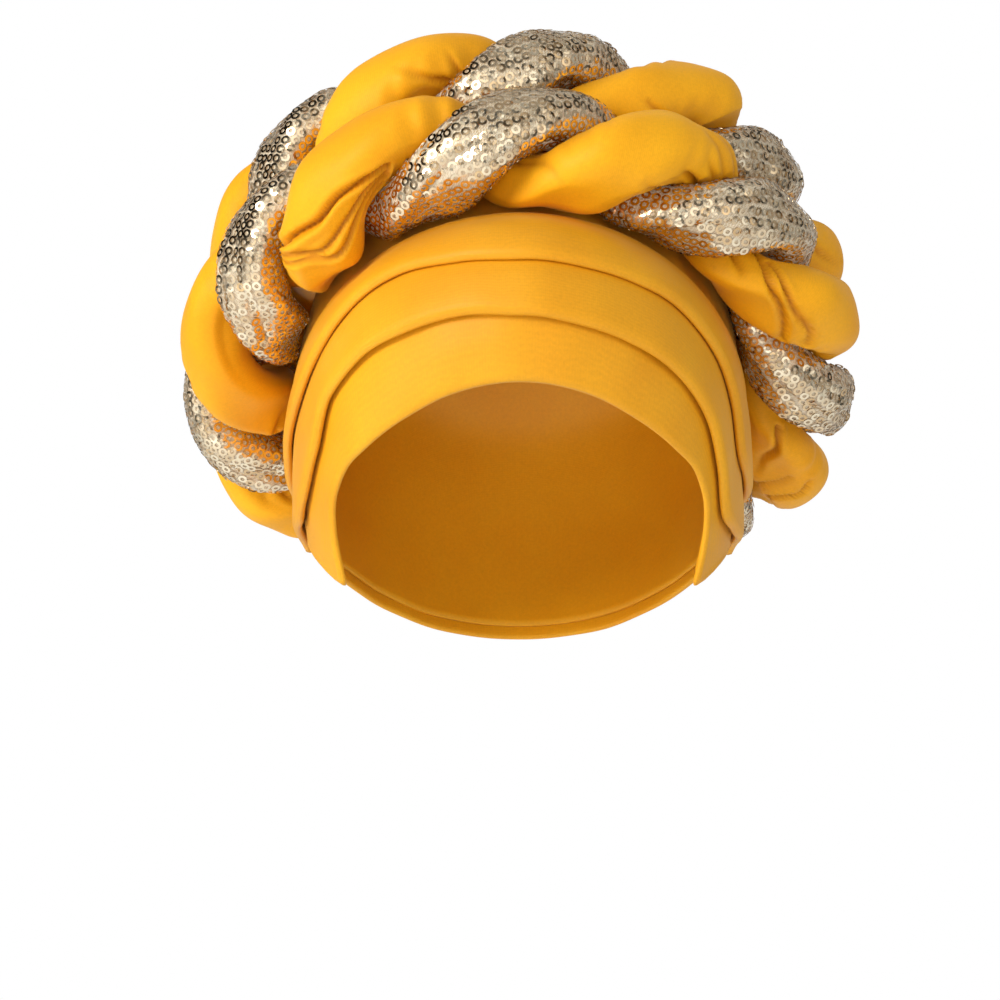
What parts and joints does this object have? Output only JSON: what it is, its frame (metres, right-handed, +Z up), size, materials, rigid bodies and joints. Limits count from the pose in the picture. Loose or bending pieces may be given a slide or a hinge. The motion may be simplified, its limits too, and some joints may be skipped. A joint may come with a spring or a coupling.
{
  "type": "tied gele head tie",
  "caption": "Ready-tied turban: a golden knit cap with soft pleats over the brow, ringed by padded twisted ropes of plain knit and sequin cloth.",
  "frame": {"origin": "inside of the crown, where the top of the wearer's head touches it", "axes": "+X to the wearer's left, -Y out of the face opening, +Z up"},
  "size_m": [0.2442, 0.2456, 0.22],
  "materials": {
    "plain_knit": "satin",
    "sequin_mesh": "sequins on mesh"
  },
  "bodies": {
    "root": {"cap_body": "plain_knit", "brow_band": "plain_knit", "lower_fold": "plain_knit", "upper_fold": "plain_knit", "front_twist_plain": "plain_knit", "front_twist_sequin": "sequin_mesh", "rear_twist_plain": "plain_knit", "rear_twist_sequin": "sequin_mesh"}
  },
  "joints": []
}
